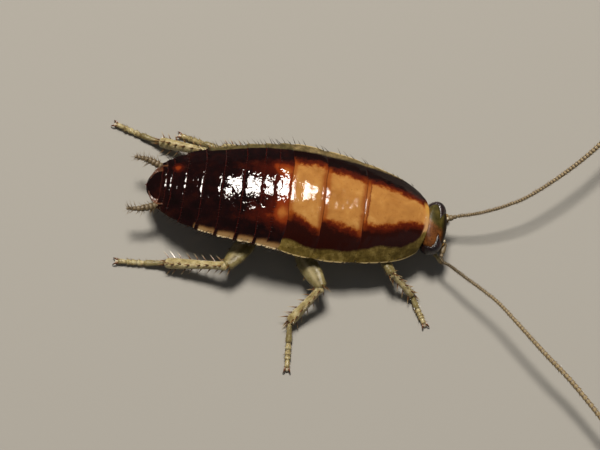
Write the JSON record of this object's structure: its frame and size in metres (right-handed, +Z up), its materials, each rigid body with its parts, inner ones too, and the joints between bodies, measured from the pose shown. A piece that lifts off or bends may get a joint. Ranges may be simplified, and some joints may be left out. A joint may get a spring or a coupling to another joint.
{
  "type": "bush cockroach",
  "caption": "Still, life-size model of a young, wingless bush cockroach standing on its feet, with long bent feelers, flat plated body and spiny legs.",
  "frame": {"origin": "on the floor under the middle of the box round the whole insect, feelers and legs included", "axes": "+X towards the head, +Y towards the insect's left, +Z up from the floor through the back"},
  "size_m": [0.0282, 0.022, 0.0032],
  "materials": {
    "back_plate": "glossy tan and dark brown cuticle with pale, slightly see-through side margins",
    "abdomen": "glossy, very dark red-brown cuticle with cream spots along each side",
    "underside": "satin, pale yellow-brown cuticle",
    "head": "satin olive-tan cuticle",
    "eye": "glossy black-brown, finely faceted",
    "leg": "satin, pale yellow cuticle, slightly see-through, with brown spines",
    "feeler": "matt grey-brown, finely haired rings"
  },
  "bodies": {
    "root": {"pronotum": "back_plate", "mesonotum": "back_plate", "metanotum": "back_plate", "thorax": "underside", "abdomen": "abdomen", "head": "head", "eye_L": "eye", "eye_R": "eye", "palp_L": "leg", "palp_R": "leg", "antenna_base_L": "feeler", "antenna_near_L": "feeler", "antenna_far_L": "feeler", "antenna_base_R": "feeler", "antenna_near_R": "feeler", "antenna_far_R": "feeler", "cercus_L": "feeler", "cercus_R": "feeler", "coxa_fore_R": "leg", "femur_fore_R": "leg", "tibia_fore_R": "leg", "tarsus_fore_R": "leg", "coxa_mid_R": "leg", "femur_mid_R": "leg", "tibia_mid_R": "leg", "tarsus_mid_R": "leg", "coxa_hind_R": "leg", "femur_hind_R": "leg", "tibia_hind_R": "leg", "tarsus_hind_R": "leg", "coxa_fore_L": "leg", "femur_fore_L": "leg", "tibia_fore_L": "leg", "tarsus_fore_L": "leg", "coxa_mid_L": "leg", "femur_mid_L": "leg", "tibia_mid_L": "leg", "tarsus_mid_L": "leg", "coxa_hind_L": "leg", "femur_hind_L": "leg", "tibia_hind_L": "leg", "tarsus_hind_L": "leg"}
  },
  "joints": []
}
